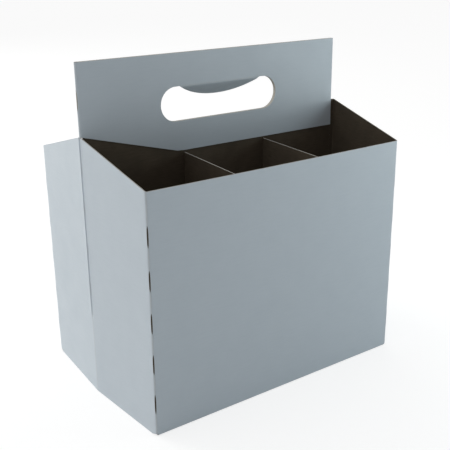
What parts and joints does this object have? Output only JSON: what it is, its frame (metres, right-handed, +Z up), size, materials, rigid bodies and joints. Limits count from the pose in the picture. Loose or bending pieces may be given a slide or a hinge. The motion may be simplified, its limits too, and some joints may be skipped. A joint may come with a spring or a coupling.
{
  "type": "bottle carrier box",
  "caption": "Open-top folded paperboard carrier box with divided cells for bottles, end walls that rise to the middle and a centre handle with a hand hole.",
  "frame": {"origin": "centre of the base, on the surface that the carrier stands on", "axes": "+X along the side walls, away from the folded edge of the handle; +Y across them; +Z up"},
  "size_m": [0.2, 0.134, 0.211],
  "materials": {
    "board": "white clay-coated paperboard with a soft satin face outside, plain brown kraft inside and at the cut edges"
  },
  "bodies": {
    "root": {"folded_carrier": "board"}
  },
  "joints": []
}
